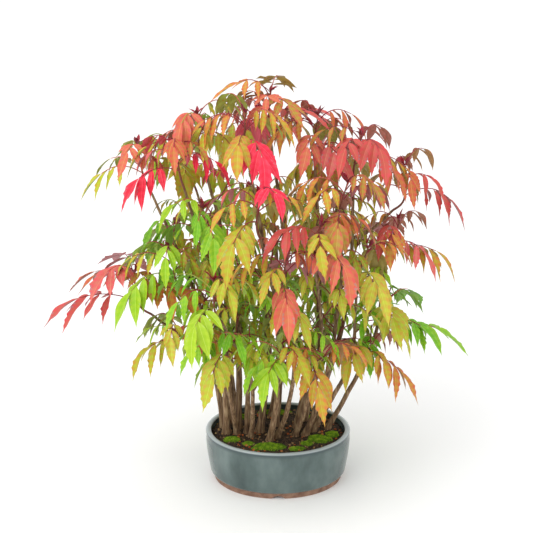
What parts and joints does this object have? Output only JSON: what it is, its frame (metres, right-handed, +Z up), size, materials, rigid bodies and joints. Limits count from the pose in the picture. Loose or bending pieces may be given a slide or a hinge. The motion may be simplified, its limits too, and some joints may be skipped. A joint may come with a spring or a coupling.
{
  "type": "potted bonsai group tree",
  "caption": "Small bonsai clump of slim fanning stems with hanging compound leaves in autumn tints, in an oval glazed pot.",
  "frame": {"origin": "on the surface the pot stands on, under the middle of the whole plant's outline", "axes": "+Z up, +X to the right and -Y to the front, as pictured"},
  "size_m": [0.4096, 0.3375, 0.4028],
  "materials": {
    "glaze": "gloss",
    "soil": "matte",
    "moss": "matte",
    "bark": "matte",
    "leaves_russet": "satin",
    "leaves_crimson": "satin",
    "leaves_amber": "satin",
    "leaves_olive": "satin",
    "leaves_lime": "satin",
    "leaves_green": "satin"
  },
  "bodies": {
    "root": {"pot": "glaze", "soil": "soil", "moss": "moss", "stem_leader": "bark", "stem_top_left": "bark", "stem_top_middle": "bark", "stem_high_left": "bark", "stem_crimson_left": "bark", "stem_upper_right": "bark", "stem_top_right": "bark", "stem_front_right": "bark", "stem_far_right": "bark", "stem_middle_right": "bark", "stem_middle_front": "bark", "stem_middle_left": "bark", "stem_green_left": "bark", "stem_lime_left": "bark", "stem_hanging_left": "bark", "stem_green_right": "bark", "stem_back_left": "bark", "stem_back_middle": "bark", "stem_back_right": "bark", "stem_rear_left": "bark", "stem_rear_middle": "bark", "stem_rear_right": "bark", "bough_far_left": "bark", "bough_low_right": "bark", "bough_right_shoulder": "bark", "leaves_leader": "leaves_russet", "leaves_top_left": "leaves_olive", "leaves_top_middle": "leaves_amber", "leaves_high_left": "leaves_olive", "leaves_crimson_left": "leaves_crimson", "leaves_upper_right": "leaves_amber", "leaves_top_right": "leaves_russet", "leaves_front_right": "leaves_russet", "leaves_far_right": "leaves_russet", "leaves_middle_right": "leaves_russet", "leaves_middle_front": "leaves_russet", "leaves_middle_left": "leaves_amber", "leaves_green_left": "leaves_green", "leaves_lime_left": "leaves_lime", "leaves_hanging_left": "leaves_lime", "leaves_green_right": "leaves_olive", "leaves_back_left": "leaves_olive", "leaves_back_middle": "leaves_amber", "leaves_back_right": "leaves_russet", "leaves_rear_left": "leaves_lime", "leaves_rear_middle": "leaves_lime", "leaves_rear_right": "leaves_olive", "leaves_far_left": "leaves_russet", "leaves_low_right": "leaves_green", "leaves_right_shoulder": "leaves_russet", "leaves_low_left": "leaves_olive", "leaves_low_front_left": "leaves_lime", "leaves_low_front": "leaves_lime", "leaves_low_front_right": "leaves_amber", "leaves_low_hanging_right": "leaves_amber", "leaves_low_back_right": "leaves_green", "leaves_low_back": "leaves_green"}
  },
  "joints": []
}
